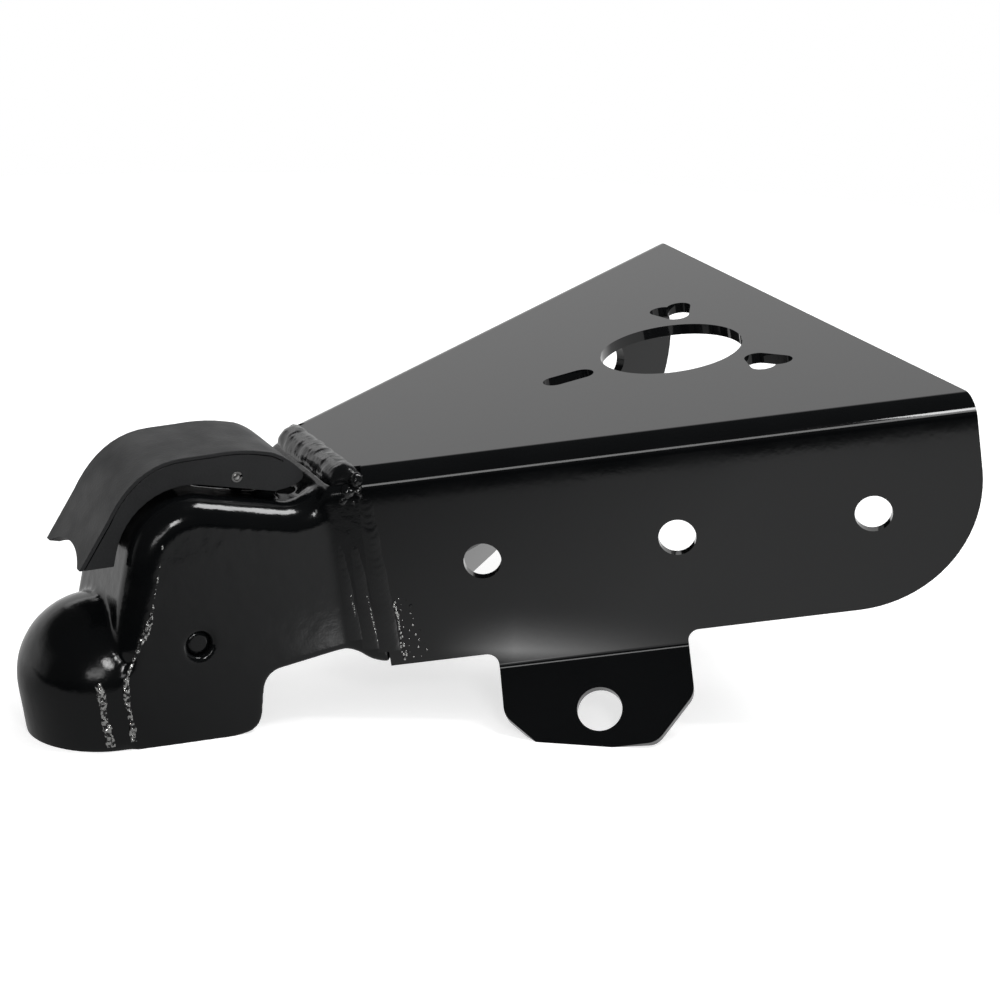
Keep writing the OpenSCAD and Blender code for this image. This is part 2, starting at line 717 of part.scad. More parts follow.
module handle() {
    tip_dir = [0.358, 0.934];
    notch_r = (notch_half * notch_half + notch_depth * notch_depth) / (2 * notch_depth);
    lean = atan2(tip_dir[0], tip_dir[1]);
    color("#202122") difference() {
        union() {
            difference() {
                housing_frame() across(-handle_w / 2, handle_w / 2) grip_outline();
                housing_frame() across(-handle_w / 2 + handle_wall, handle_w / 2 - handle_wall)
                    grip_hollow();
            }
            // Ribs that hold the lock arm between them
            both_sides() housing_frame() across(arm_w / 2 + 0.3, arm_w / 2 + 2.8)
                intersection() {
                    polygon(concat([[-14, 35.5]], inward([for (p = grip_top)
                        if (p[0] > -14 && p[0] < 22) p], 1), [[21, 38], [10, 35]]));
                }
        }
        housing_frame() translate([grip_tip[0], 0, grip_tip[1]]) rotate([0, lean, 0])
            translate([0, 0, notch_depth - notch_r]) rotate([0, 90, 0])
                cylinder(r = notch_r, h = 30, center = true, $fn = 96);
        cross_bar(roll_x, roll_z, roll_pin_d + 2 * tight_fit, -big / 2, big / 2);
    }
}

// Slotted spring pin that ties the handle to the lock arm
module handle_pin() {
    wall = 0.9;
    slit = 0.8;
    color("#b4b6ba") across(-handle_w / 2 + 0.1, handle_w / 2 - 0.1) difference() {
        circle_at([roll_x, roll_z], roll_pin_d / 2);
        circle_at([roll_x, roll_z], roll_pin_d / 2 - wall);
        translate([roll_x, roll_z - slit / 2]) square([roll_pin_d, slit]);
    }
}

frame_plate();
head_casting();
weld_top();
weld_near();
weld_far();
ball_jaw();
jaw_pin();
jaw_spring();
lock_arm();
arm_pin();
lock_spring();
handle();
handle_pin();
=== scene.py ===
# %% [markdown]
# # Dressing a trailer coupling head
# The CAD model already has every piece at its real size and place. This script loads it as a
# fixed frame and gives each piece the surface of the real one: rough-cast iron and folded steel
# under gloss black enamel, weld beads, a matt moulded handle and plain steel pins. Blender works
# in metres, so sizes are written in millimetres and multiplied by MM.

# %% Load the frame
import bpy
import bmesh
import math
from mathutils import Matrix, Vector


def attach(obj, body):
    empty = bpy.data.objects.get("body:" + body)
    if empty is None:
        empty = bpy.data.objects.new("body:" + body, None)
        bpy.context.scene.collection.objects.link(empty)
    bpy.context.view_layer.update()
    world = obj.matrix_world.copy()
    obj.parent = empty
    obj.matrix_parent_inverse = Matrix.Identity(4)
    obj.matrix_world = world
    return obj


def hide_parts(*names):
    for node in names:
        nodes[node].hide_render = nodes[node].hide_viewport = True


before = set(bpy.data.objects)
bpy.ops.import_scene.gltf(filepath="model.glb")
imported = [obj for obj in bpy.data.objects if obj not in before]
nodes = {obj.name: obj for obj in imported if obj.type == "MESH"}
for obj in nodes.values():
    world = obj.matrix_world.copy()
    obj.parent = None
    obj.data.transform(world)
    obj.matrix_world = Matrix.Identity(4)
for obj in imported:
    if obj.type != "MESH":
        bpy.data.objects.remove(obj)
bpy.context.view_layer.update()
MM = 0.001
scene = bpy.context.scene
print("nodes:", ", ".join(sorted(nodes)))

# %% [markdown]
# Colours are easiest to judge as the hex values a painter or a web page uses, but a shader wants
# linear light. One function turns the first into the second. A second small function adds a node
# with its settings and its links, so that each tree below reads as a list of what it does.

# %% Colour and node helpers
def linear(hex_colour):
    channels = [int(hex_colour[i:i + 2], 16) / 255 for i in (1, 3, 5)]
    return [c / 12.92 if c <= 0.04045 else ((c + 0.055) / 1.055) ** 2.4 for c in channels] + [1.0]


def add_node(tree, kind, inputs=None, **settings):
    """Add a node. An input given as a socket, or as a node for its first output, is linked."""
    node = tree.nodes.new(kind)
    for name, value in settings.items():
        setattr(node, name, value)
    for name, value in (inputs or {}).items():
        if isinstance(value, bpy.types.Node):
            value = value.outputs[0]
        if isinstance(value, bpy.types.NodeSocket):
            tree.links.new(value, node.inputs[name])
        else:
            node.inputs[name].default_value = value
    return node


def empty_material(name):
    material = bpy.data.materials.new(name)
    material.use_nodes = True
    material.node_tree.nodes.clear()
    return material, material.node_tree


WHITE = linear("#ffffff")
print("paint black #08090a in linear light:", [round(c, 4) for c in linear("#08090a")])

# %% [markdown]
# The camera stands 1.5 m away, left of the coupler and above it, with a long lens. Its place and
# turn were fitted to the outline and the holes of the plate. The picture leans by about 8 degrees
# because the coupler rests on its nose and on its two chain tabs, so the table under it is not
# square to the frame. The camera is built from the direction it looks in and a hint of which way
# is up.

# %% Camera
CAMERA_PLACE = Vector((-0.5753, -1.2816, 0.4862))
LENS_MM, SENSOR_MM = 120.17, 36.0
view_dir = Vector((0.3294, 0.8718, -0.3626)).normalized()
up_hint = Vector((0.2656, 0.2830, 0.9216))
right_dir = view_dir.cross(up_hint).normalized()
up_dir = right_dir.cross(view_dir)
camera_data = bpy.data.cameras.new("camera")
camera_data.sensor_width = SENSOR_MM
camera_data.lens = LENS_MM
camera = bpy.data.objects.new("camera", camera_data)
camera.matrix_world = Matrix.Translation(CAMERA_PLACE) @ Matrix(
    (right_dir, up_dir, -view_dir)).transposed().to_4x4()
scene.collection.objects.link(camera)
scene.camera = camera
print("camera to jack hole:", round(camera.location.length, 3), "m")

# %% [markdown]
# The table is a large pale disc tilted to touch the nose and both tabs. A disc is enough, because
# only its shadow and what the paint mirrors of it are ever seen.

# %% Table
TABLE_TILT = 9.6
TABLE_REACH = 1.1
TABLE_SPOT = Vector((-0.233, 0.0, -0.1031))

table_mesh = bpy.data.meshes.new("table")
bm = bmesh.new()
bmesh.ops.create_circle(bm, cap_ends=True, segments=96, radius=TABLE_REACH)
bmesh.ops.transform(bm, verts=bm.verts, matrix=Matrix.Translation(TABLE_SPOT)
                    @ Matrix.Rotation(math.radians(TABLE_TILT), 4, "Y"))
bm.to_mesh(table_mesh)
bm.free()
table = bpy.data.objects.new("table", table_mesh)
scene.collection.objects.link(table)
print("table tilt:", TABLE_TILT, "degrees")

# %% [markdown]
# The table shows white, keeps a faint shadow, and can be looked through from below so that low
# views stay clear. Black paint is seen by what it mirrors, so the surroundings matter more than
# the lamps. What the paint mirrors of the table is a glow of painted light and shade, though the
# table is no lamp: it is painted dim in front of the coupler, as painted shade where the coupler's
# shadow falls, bright behind it, and it ends at a painted slanting edge on the camera's side. That
# edge draws the line between grey and black along the ridge and the folds. A painted strip of light
# lies in front of the chain tab, and the flange mirrors it as a painted highlight just above the
# tab's fold. All distances here are in metres.

# %% What the table shows to the eye and to the paint
FRAME_ANGLE = math.radians(25)
FLANGE_OUT = (-math.sin(FRAME_ANGLE), -math.cos(FRAME_ANGLE), 0.0)
FLANGE_ALONG = (math.cos(FRAME_ANGLE), -math.sin(FRAME_ANGLE), 0.0)
EDGE_WAY, EDGE_START, EDGE_END = (0.69, 0.72, 0.0), -0.357, -0.350
# Levels of the table's glow in the paint: painted shade in front of the coupler, brighter at the
# sides and behind.
FRONT_PAINTED_SHADE, SIDE_LEVEL, BEHIND_LEVEL = 0.32, 0.70, 0.45
# Brightness of a painted strip of light on the table, which the flange mirrors as a painted
# highlight.
PAINTED_STRIP_LEVEL = 4.0
CAMERA_GLOW = 0.62

table_white, tree = empty_material("table_white")
spot = add_node(tree, "ShaderNodeTexCoord").outputs["Object"]
across = add_node(tree, "ShaderNodeSeparateXYZ", {0: spot})
slant = add_node(tree, "ShaderNodeVectorMath", {0: spot, 1: EDGE_WAY}, operation="DOT_PRODUCT")
edge = add_node(tree, "ShaderNodeMapRange", {
    "Value": slant.outputs["Value"], "From Min": EDGE_START, "From Max": EDGE_END})
# Painted shade: what the paint mirrors of the table is dimmer in front of the coupler, where the
# coupler's shadow falls.
ahead = add_node(tree, "ShaderNodeMapRange", {
    "Value": across.outputs["X"], "From Min": -0.27, "From Max": -0.12,
    "To Min": FRONT_PAINTED_SHADE, "To Max": SIDE_LEVEL})
behind = add_node(tree, "ShaderNodeMapRange", {
    "Value": across.outputs["Y"], "From Min": 0.02, "From Max": 0.22, "To Max": BEHIND_LEVEL})
both_levels = add_node(tree, "ShaderNodeMath", {0: ahead, 1: behind}, operation="ADD")
plain = add_node(tree, "ShaderNodeMath", {0: edge, 1: both_levels}, operation="MULTIPLY")

# Painted light: a glowing strip on the table in front of the chain tab, no lamp, mirrored by the
# flange as a painted highlight just above the tab's fold.
outward = add_node(tree, "ShaderNodeVectorMath", {0: spot, 1: FLANGE_OUT},
                   operation="DOT_PRODUCT").outputs["Value"]
along = add_node(tree, "ShaderNodeVectorMath", {0: spot, 1: FLANGE_ALONG},
                 operation="DOT_PRODUCT").outputs["Value"]
near = add_node(tree, "ShaderNodeMapRange", {
    "Value": outward, "From Min": 0.160, "From Max": 0.172})
far = add_node(tree, "ShaderNodeMapRange", {
    "Value": outward, "From Min": 0.174, "From Max": 0.224, "To Min": 1.0, "To Max": 0.0})
faded = add_node(tree, "ShaderNodeMath", {0: far, 1: 3.0}, operation="POWER")
rise = add_node(tree, "ShaderNodeMapRange", {
    "Value": along, "From Min": -0.125, "From Max": -0.086})
fall = add_node(tree, "ShaderNodeMapRange", {
    "Value": along, "From Min": -0.085, "From Max": 0.020, "To Min": 1.0, "To Max": 0.0})
stretch = add_node(tree, "ShaderNodeMath", {0: rise, 1: fall}, operation="MULTIPLY")
stretch = add_node(tree, "ShaderNodeMath", {0: stretch, 1: 2.0}, operation="POWER")
strip = add_node(tree, "ShaderNodeMath", {0: near, 1: faded}, operation="MULTIPLY")
strip = add_node(tree, "ShaderNodeMath", {0: strip, 1: stretch}, operation="MULTIPLY")
level = add_node(tree, "ShaderNodeMath", {0: strip, 1: PAINTED_STRIP_LEVEL, 2: plain},
                 operation="MULTIPLY_ADD")

matt = add_node(tree, "ShaderNodeBsdfDiffuse", {"Color": linear("#d8d8d8")})
glow = add_node(tree, "ShaderNodeEmission", {"Color": WHITE, "Strength": CAMERA_GLOW})
lit = add_node(tree, "ShaderNodeAddShader", {0: matt, 1: glow})
mirrored = add_node(tree, "ShaderNodeEmission", {"Color": WHITE, "Strength": level})
rays = add_node(tree, "ShaderNodeLightPath")
by_ray = add_node(tree, "ShaderNodeMixShader", {
    0: rays.outputs["Is Camera Ray"], 1: mirrored, 2: lit})
clear = add_node(tree, "ShaderNodeBsdfTransparent")
side = add_node(tree, "ShaderNodeNewGeometry")
both_sides = add_node(tree, "ShaderNodeMixShader", {
    0: side.outputs["Backfacing"], 1: by_ray, 2: clear})
add_node(tree, "ShaderNodeOutputMaterial", {"Surface": both_sides})
table_mesh.materials.append(table_white)
print("table material:", len(tree.nodes), "nodes")

# %% [markdown]
# The world has three faces. The camera sees plain white. Gloss paint mirrors a white backdrop that
# stands low behind the coupler and fades out upwards, with near darkness overhead and on the
# camera's side. Matt surfaces are lit by at least a plain even level from all round.

# %% Surroundings
BACKDROP_WAY, BACKDROP_LEVEL = (0.35, 0.94, 0.0), 0.82
BACKDROP_LOW, BACKDROP_HIGH = 0.40, 0.62
DARK_LEVEL = 0.035
MATT_LEVEL = 0.62

world = bpy.data.worlds.new("studio")
world.use_nodes = True
world.node_tree.nodes.clear()
tree = world.node_tree
toward = add_node(tree, "ShaderNodeTexCoord").outputs["Generated"]
upward = add_node(tree, "ShaderNodeSeparateXYZ", {0: toward})
height = add_node(tree, "ShaderNodeMapRange", {
    "Value": upward.outputs["Z"], "From Min": BACKDROP_LOW, "From Max": BACKDROP_HIGH,
    "To Min": 1.0, "To Max": 0.0})
facing = add_node(tree, "ShaderNodeVectorMath", {0: toward, 1: BACKDROP_WAY},
                  operation="DOT_PRODUCT")
backdrop = add_node(tree, "ShaderNodeMapRange", {
    "Value": facing.outputs["Value"], "From Min": -0.35, "From Max": 0.25,
    "To Max": BACKDROP_LEVEL})
glossy_level = add_node(tree, "ShaderNodeMath", {0: height, 1: backdrop, 2: DARK_LEVEL},
                        operation="MULTIPLY_ADD")
rays = add_node(tree, "ShaderNodeLightPath")
matt_level = add_node(tree, "ShaderNodeMath", {
    0: rays.outputs["Is Diffuse Ray"], 1: MATT_LEVEL}, operation="MULTIPLY")
lighter = add_node(tree, "ShaderNodeMath", {0: glossy_level, 1: matt_level}, operation="MAXIMUM")
seen = add_node(tree, "ShaderNodeMath", {0: lighter, 1: rays.outputs["Is Camera Ray"]},
                operation="MAXIMUM")
sky = add_node(tree, "ShaderNodeBackground", {"Color": WHITE, "Strength": seen})
add_node(tree, "ShaderNodeOutputWorld", {"Surface": sky})
scene.world = world
print("backdrop fades out between", round(math.degrees(math.asin(BACKDROP_LOW))), "and",
      round(math.degrees(math.asin(BACKDROP_HIGH))), "degrees")

# %% [markdown]
# Four soft lamps draw the lights on the paint. Each was placed by taking the CAD model's normal at
# a bright line or spot of the photograph and following the mirrored view from there.

# %% Lamps
HEAD_SPOT = (-0.22, -0.03, -0.01)
FOLD_SPOT = (-0.06, -0.09, 0.0)


def softbox(name, place, aim, size, brightness):
    """Area lamp whose power is worked out from how bright its face looks."""
    lamp = bpy.data.lights.new(name, "AREA")
    lamp.shape = "RECTANGLE"
    lamp.size, lamp.size_y = size
    lamp.energy = brightness * math.pi * size[0] * size[1]
    holder = bpy.data.objects.new(name, lamp)
    holder.visible_camera = False
    away = (Vector(place) - Vector(aim)).normalized()
    level_axis = Vector((0.0, 0.0, 1.0)).cross(away).normalized()
    holder.matrix_world = Matrix.Translation(place) @ Matrix(
        (level_axis, away.cross(level_axis), away)).transposed().to_4x4()
    scene.collection.objects.link(holder)
    print(name, "gives", round(lamp.energy, 1), "W")


softbox("ridge_light", (0.57, -0.25, 1.0), HEAD_SPOT, size=(0.46, 0.46), brightness=15)
softbox("fold_light", (-0.89, -1.81, 0.585), FOLD_SPOT, size=(0.75, 0.34), brightness=4.2)
softbox("corner_light", (-0.25, -1.17, 0.56), HEAD_SPOT, size=(0.24, 0.24), brightness=18)
softbox("crown_light", (-0.09, 1.25, 0.78), HEAD_SPOT, size=(0.5, 0.3), brightness=1.2)
scene.view_settings.view_transform = "Standard"

# %% [markdown]
# The plate, the casting and the welds are all under one coat of gloss black enamel on steel or
# iron. Enamel is black pigment in a clear binder, with an index of about 1.5 and a very low
# roughness, and it dries with the faint ripple called orange peel. A casting below it shows its sand
# texture, so the same paint gets a coarser and deeper bump there. It also mirrors a little less
# than the plate does, which a slightly lower index matches. One function makes the finish, with the
# scale of every pattern in millimetres.

# %% Gloss enamel
HAZE_MM = 38


def gloss_enamel(name, colour, roughness, peel_mm, peel_depth_mm, grit_mm, grit_depth_mm, ior=1.5):
    material, tree = empty_material(name)
    place = add_node(tree, "ShaderNodeTexCoord").outputs["Object"]
    peel = add_node(tree, "ShaderNodeTexNoise", {
        "Vector": place, "Scale": 1 / (peel_mm * MM), "Detail": 2.0})
    grit = add_node(tree, "ShaderNodeTexNoise", {
        "Vector": place, "Scale": 1 / (grit_mm * MM), "Detail": 4.0})
    haze = add_node(tree, "ShaderNodeTexNoise", {
        "Vector": place, "Scale": 1 / (HAZE_MM * MM), "Detail": 5.0})
    waves = add_node(tree, "ShaderNodeBump", {
        "Height": peel.outputs["Fac"], "Strength": 1.0, "Distance": peel_depth_mm * MM})
    sand = add_node(tree, "ShaderNodeBump", {
        "Height": grit.outputs["Fac"], "Strength": 1.0, "Distance": grit_depth_mm * MM,
        "Normal": waves})
    gloss = add_node(tree, "ShaderNodeMapRange", {
        "Value": haze.outputs["Fac"], "From Min": 0.35, "From Max": 0.7,
        "To Min": roughness * 0.75, "To Max": roughness * 1.35})
    tone = add_node(tree, "ShaderNodeMixRGB", {
        "Fac": haze.outputs["Fac"], "Color1": linear(colour), "Color2": linear("#0d0e0f")})
    paint = add_node(tree, "ShaderNodeBsdfPrincipled", {
        "Base Color": tone, "Roughness": gloss, "IOR": ior, "Normal": sand})
    add_node(tree, "ShaderNodeOutputMaterial", {"Surface": paint})
    return material


plate_enamel = gloss_enamel("enamel_on_plate", "#08090a", roughness=0.065, peel_mm=2.6,
                            peel_depth_mm=0.006, grit_mm=9.0, grit_depth_mm=0.008)
cast_enamel = gloss_enamel("enamel_on_casting", "#060708", roughness=0.14, peel_mm=1.1,
                           peel_depth_mm=0.03, grit_mm=4.2, grit_depth_mm=0.07, ior=1.42)
weld_enamel = gloss_enamel("enamel_on_welds", "#0a0b0c", roughness=0.20, peel_mm=1.4,
                           peel_depth_mm=0.02, grit_mm=4.0, grit_depth_mm=0.03)
print("enamel finishes:", plate_enamel.name, cast_enamel.name, weld_enamel.name)

# %% [markdown]
# Paint pulls away from sharp crests. The ragged edges of the casting and the drops beside the welds
# are therefore partly bare: blotches of pale, satin iron among black enamel.

# %% Thin enamel over rough iron
def thin_enamel(name, blotch_mm, bare_share):
    material, tree = empty_material(name)
    place = add_node(tree, "ShaderNodeTexCoord").outputs["Object"]
    blotch = add_node(tree, "ShaderNodeTexNoise", {
        "Vector": place, "Scale": 1 / (blotch_mm * MM), "Detail": 3.0})
    bare = add_node(tree, "ShaderNodeMapRange", {
        "Value": blotch.outputs["Fac"], "From Min": 0.62 - bare_share,
        "From Max": 0.68 - bare_share})
    iron = add_node(tree, "ShaderNodeBsdfPrincipled", {
        "Base Color": linear("#c8c8c6"), "Metallic": 1.0, "Roughness": 0.24})
    paint = add_node(tree, "ShaderNodeBsdfPrincipled", {
        "Base Color": linear("#0a0b0c"), "Roughness": 0.2, "IOR": 1.5})
    patchy = add_node(tree, "ShaderNodeMixShader", {0: bare, 1: paint, 2: iron})
    add_node(tree, "ShaderNodeOutputMaterial", {"Surface": patchy})
    return material


ragged_enamel = thin_enamel("enamel_thin_on_rough_iron", blotch_mm=1.6, bare_share=0.16)
print("ragged finish:", ragged_enamel.name)

# %% [markdown]
# The handle is a glass-filled nylon moulding with a spark-eroded texture: a fine even grain that
# scatters light, so it looks grey on top and nearly black on its sides. The real grain is a tenth
# or two of a millimetre, too fine to show, so it is drawn 1 mm coarse.

# %% Moulded nylon
CLOUD_MM = 14


def moulded_nylon(name, colour, grain_mm, grain_depth_mm):
    material, tree = empty_material(name)
    place = add_node(tree, "ShaderNodeTexCoord").outputs["Object"]
    grain = add_node(tree, "ShaderNodeTexVoronoi", {
        "Vector": place, "Scale": 1 / (grain_mm * MM)})
    cloud = add_node(tree, "ShaderNodeTexNoise", {
        "Vector": place, "Scale": 1 / (CLOUD_MM * MM), "Detail": 4.0})
    grit = add_node(tree, "ShaderNodeBump", {
        "Height": grain.outputs["Distance"], "Strength": 0.7, "Distance": grain_depth_mm * MM})
    sheen = add_node(tree, "ShaderNodeMapRange", {
        "Value": cloud.outputs["Fac"], "From Min": 0.35, "From Max": 0.7,
        "To Min": 0.48, "To Max": 0.60})
    tone = add_node(tree, "ShaderNodeMixRGB", {
        "Fac": cloud.outputs["Fac"], "Color1": linear(colour), "Color2": linear("#202123")})
    skin = add_node(tree, "ShaderNodeBsdfPrincipled", {
        "Base Color": tone, "Roughness": sheen, "IOR": 1.48, "Normal": grit})
    add_node(tree, "ShaderNodeOutputMaterial", {"Surface": skin})
    return material


handle_nylon = moulded_nylon("nylon_spark_texture", "#141516", grain_mm=1.0, grain_depth_mm=0.09)
print("handle finish:", handle_nylon.name)

# %% [markdown]
# The pins are plain steel bar with turned ends and a zinc flash, the springs are drawn wire, and
# the jaw and the lock arm are forged steel, a little darker and blotchy. Metals keep their mirror
# colour and differ in roughness and in the marks of their making. One noise gives those marks. It
# is drawn out along the pins, as on drawn bar, and even on the rest. Real draw marks are finer than
# the half millimetre used here, which is as coarse as they need to be to show.

# %% Plain steels
def plain_steel(name, colour, roughness, mark_mm, mark_depth_mm):
    material, tree = empty_material(name)
    place = add_node(tree, "ShaderNodeTexCoord").outputs["Object"]
    stretched = add_node(tree, "ShaderNodeMapping", {
        "Vector": place, "Scale": [1 / (v * MM) for v in mark_mm]})
    lines = add_node(tree, "ShaderNodeTexNoise", {
        "Vector": stretched, "Scale": 1.0, "Detail": 3.0})
    tone = add_node(tree, "ShaderNodeMixRGB", {
        "Fac": lines.outputs["Fac"], "Color1": linear(colour), "Color2": linear("#9c9a96")})
    gloss = add_node(tree, "ShaderNodeMapRange", {
        "Value": lines.outputs["Fac"], "From Min": 0.3, "From Max": 0.7,
        "To Min": roughness * 0.8, "To Max": roughness * 1.25})
    marks = add_node(tree, "ShaderNodeBump", {
        "Height": lines.outputs["Fac"], "Strength": 1.0, "Distance": mark_depth_mm * MM})
    steel = add_node(tree, "ShaderNodeBsdfPrincipled", {
        "Base Color": tone, "Metallic": 1.0, "Roughness": gloss, "Normal": marks})
    add_node(tree, "ShaderNodeOutputMaterial", {"Surface": steel})
    return material


pin_steel = plain_steel("steel_turned_pin", "#8f9093", roughness=0.30,
                        mark_mm=(0.5, 6.0, 0.5), mark_depth_mm=0.010)
wire_steel = plain_steel("steel_spring_wire", "#a3a4a6", roughness=0.25,
                         mark_mm=(0.8, 0.8, 0.8), mark_depth_mm=0.006)
forged_steel = plain_steel("steel_forged_lock", "#6f7074", roughness=0.42,
                           mark_mm=(2.4, 2.4, 2.4), mark_depth_mm=0.05)
print("steels:", pin_steel.name, wire_steel.name, forged_steel.name)

# %% [markdown]
# A CAD node is a shell of loose triangles. A copy of it, merged, can be worked like any mesh: the
# flat faces are dissolved into single polygons, a small bevel breaks every hard edge so that it
# catches a line of light, and weighted normals keep the flats flat next to it. The copy then
# stands in for the node.

# %% Working copies
MERGE_MM, SLIVER_MM = 0.002, 0.001
FLAT_ANGLE = math.radians(0.4)
HARD_ANGLE = math.radians(32)


def new_piece(name, data):
    piece = bpy.data.objects.new(name, data)
    scene.collection.objects.link(piece)
    return piece


def merged_copy(node_name, piece_name):
    mesh = nodes[node_name].data.copy()
    mesh.materials.clear()
    bm = bmesh.new()
    bm.from_mesh(mesh)
    bmesh.ops.remove_doubles(bm, verts=bm.verts, dist=MERGE_MM * MM)
    bmesh.ops.dissolve_degenerate(bm, dist=SLIVER_MM * MM, edges=bm.edges)
    bm.to_mesh(mesh)
    bm.free()
    return new_piece(piece_name, mesh)


def flat_faces(piece):
    bm = bmesh.new()
    bm.from_mesh(piece.data)
    bmesh.ops.dissolve_limit(bm, angle_limit=FLAT_ANGLE, verts=bm.verts, edges=bm.edges,
                             use_dissolve_boundaries=False)
    bm.to_mesh(piece.data)
    bm.free()


def baked_mesh(piece):
    evaluated = piece.evaluated_get(bpy.context.evaluated_depsgraph_get())
    return bpy.data.meshes.new_from_object(evaluated)


def bake_modifiers(piece):
    mesh, old = baked_mesh(piece), piece.data
    piece.modifiers.clear()
    piece.data = mesh
    bpy.data.meshes.remove(old)


def flat_normals(piece, hard_angle=HARD_ANGLE):
    piece.data.shade_smooth()
    piece.data.set_sharp_from_angle(angle=hard_angle)
    weighted = piece.modifiers.new("flats", "WEIGHTED_NORMAL")
    weighted.keep_sharp = True


def broken_edges(piece, width_mm, segments=2):
    bevel = piece.modifiers.new("edge", "BEVEL")
    bevel.width = width_mm * MM
    bevel.segments = segments
    bevel.limit_method = "ANGLE"
    bevel.angle_limit = HARD_ANGLE
    bake_modifiers(piece)
    flat_normals(piece)


def dress(piece, material, body, slot, *replaced):
    piece.data.materials.clear()
    piece.data.materials.append(material)
    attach(piece, body)
    if replaced:
        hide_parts(*replaced)
    print(piece.name, "rides on", body, "with", len(piece.data.polygons), "faces")


# %% [markdown]
# The plate is one sheet of steel, punched and then folded, so its edges are cut square and only the
# coat of paint rounds them. Its working copy needs no more than a bevel of half a millimetre.

# %% Folded plate
plate = merged_copy("frame_plate", "folded_plate")
flat_faces(plate)
broken_edges(plate, width_mm=0.5)
dress(plate, plate_enamel, "coupler", "painted_plate", "frame_plate")

# %% [markdown]
# The skin of the casting, the weld beads and the spatter are all made by Geometry Nodes trees, and
# all three start and end alike. A tree takes a geometry and named sizes, and hands back real,
# painted mesh. Two steps are shared as well: a noise that swings about zero, and a push along the
# surface's own normals.

# %% Helpers for the trees
def new_tree(name, floats, others):
    tree = bpy.data.node_groups.new(name, "GeometryNodeTree")
    tree.interface.new_socket("Geometry", in_out="INPUT", socket_type="NodeSocketGeometry")
    for label in floats:
        tree.interface.new_socket(label, in_out="INPUT", socket_type="NodeSocketFloat")
    for label, kind in others:
        tree.interface.new_socket(label, in_out="INPUT", socket_type="NodeSocket" + kind)
    tree.interface.new_socket("Finish", in_out="INPUT", socket_type="NodeSocketMaterial")
    tree.interface.new_socket("Geometry", in_out="OUTPUT", socket_type="NodeSocketGeometry")
    return tree, add_node(tree, "NodeGroupInput").outputs


def finish_tree(tree, geometry, given):
    solid = add_node(tree, "GeometryNodeRealizeInstances", {0: geometry})
    painted = add_node(tree, "GeometryNodeSetMaterial", {
        "Geometry": solid, "Material": given["Finish"]})
    add_node(tree, "NodeGroupOutput", {"Geometry": painted})
    print("tree", tree.name, "has", len(tree.nodes), "nodes")
    return tree


def noise_about_zero(tree, position, size, depth, seed):
    fineness = add_node(tree, "ShaderNodeMath", {0: 1.0, 1: size}, operation="DIVIDE")
    noise = add_node(tree, "ShaderNodeTexNoise", {
        "Vector": position, "W": seed, "Scale": fineness, "Detail": 2.0}, noise_dimensions="4D")
    swing = add_node(tree, "ShaderNodeMath", {0: noise.outputs["Fac"], 1: 0.5},
                     operation="SUBTRACT")
    return add_node(tree, "ShaderNodeMath", {0: swing, 1: depth}, operation="MULTIPLY")


def pushed_out(tree, geometry, height):
    normal = add_node(tree, "GeometryNodeInputNormal")
    offset = add_node(tree, "ShaderNodeVectorMath", {0: normal, "Scale": height},
                      operation="SCALE")
    return add_node(tree, "GeometryNodeSetPosition", {"Geometry": geometry, "Offset": offset})


def add_tree(piece, tree, **inputs):
    """Put a tree on a piece, with its inputs by name and an underscore for each space."""
    modifier = piece.modifiers.new(tree.name, "NODES")
    modifier.node_group = tree
    sockets = {s.name: s.identifier for s in tree.interface.items_tree
               if s.item_type == "SOCKET" and s.in_out == "INPUT"}
    for name, value in inputs.items():
        modifier[sockets[name.replace("_", " ")]] = value


# %% [markdown]
# The head is a sand casting. Its CAD solid meets in knife-sharp inner corners, where the real one
# has fillets from the pattern and a thick coat of paint. A voxel remesh turns the solid into an
# even skin about a millimetre fine, and smoothing that skin rounds every corner a little, outside
# and inside. A tree then moves the skin in and out along its normals by a long and a short noise,
# which gives the uneven surface of cast iron.

# %% Rough-cast skin
VOXEL_MM, SMOOTHING_ROUNDS, SMOOTHING_SHARE = 1.1, 14, 0.5


def skin_tree():
    tree, given = new_tree("rough_cast_skin", ("Wave length", "Wave depth", "Grain size",
                                               "Grain depth"), (("Seed", "Float"),))
    place = add_node(tree, "GeometryNodeInputPosition")
    waves = noise_about_zero(tree, place, given["Wave length"], given["Wave depth"], given["Seed"])
    grains = noise_about_zero(tree, place, given["Grain size"], given["Grain depth"], given["Seed"])
    uneven = add_node(tree, "ShaderNodeMath", {0: waves, 1: grains}, operation="ADD")
    return finish_tree(tree, pushed_out(tree, given["Geometry"], uneven), given)


rough_cast = skin_tree()
head = merged_copy("head_casting", "cast_head")
remesh = head.modifiers.new("skin", "REMESH")
remesh.mode = "VOXEL"
remesh.voxel_size = VOXEL_MM * MM
soften = head.modifiers.new("soften", "SMOOTH")
soften.factor = SMOOTHING_SHARE
soften.iterations = SMOOTHING_ROUNDS
add_tree(head, rough_cast, Wave_length=11 * MM, Wave_depth=0.3 * MM, Grain_size=3.2 * MM,
         Grain_depth=0.12 * MM, Seed=3.0, Finish=cast_enamel)
bake_modifiers(head)
head.data.shade_smooth()
dress(head, cast_enamel, "coupler", "painted_casting", "head_casting")
print("casting skin:", len(head.data.vertices), "vertices")

# %% [markdown]
# A weld bead is metal that froze in waves as the torch moved along: a rounded bar with fine
# crescent ripples, and a few lumps where the torch stayed longer. A Geometry Nodes tree sweeps a
# squashed circle along a curve, writes down how far along and how far round each point is, and
# pushes the points out by a ripple that depends on both, so that the crests bow backwards at the
# toes. Noise adds the lumps. The curve's own radius says how thick the bead is at each point.

# %% Weld bead tree
UNEVEN_MM, UNEVEN_TRAVEL_MM = 6, 5
MEAN_CREST = 0.6


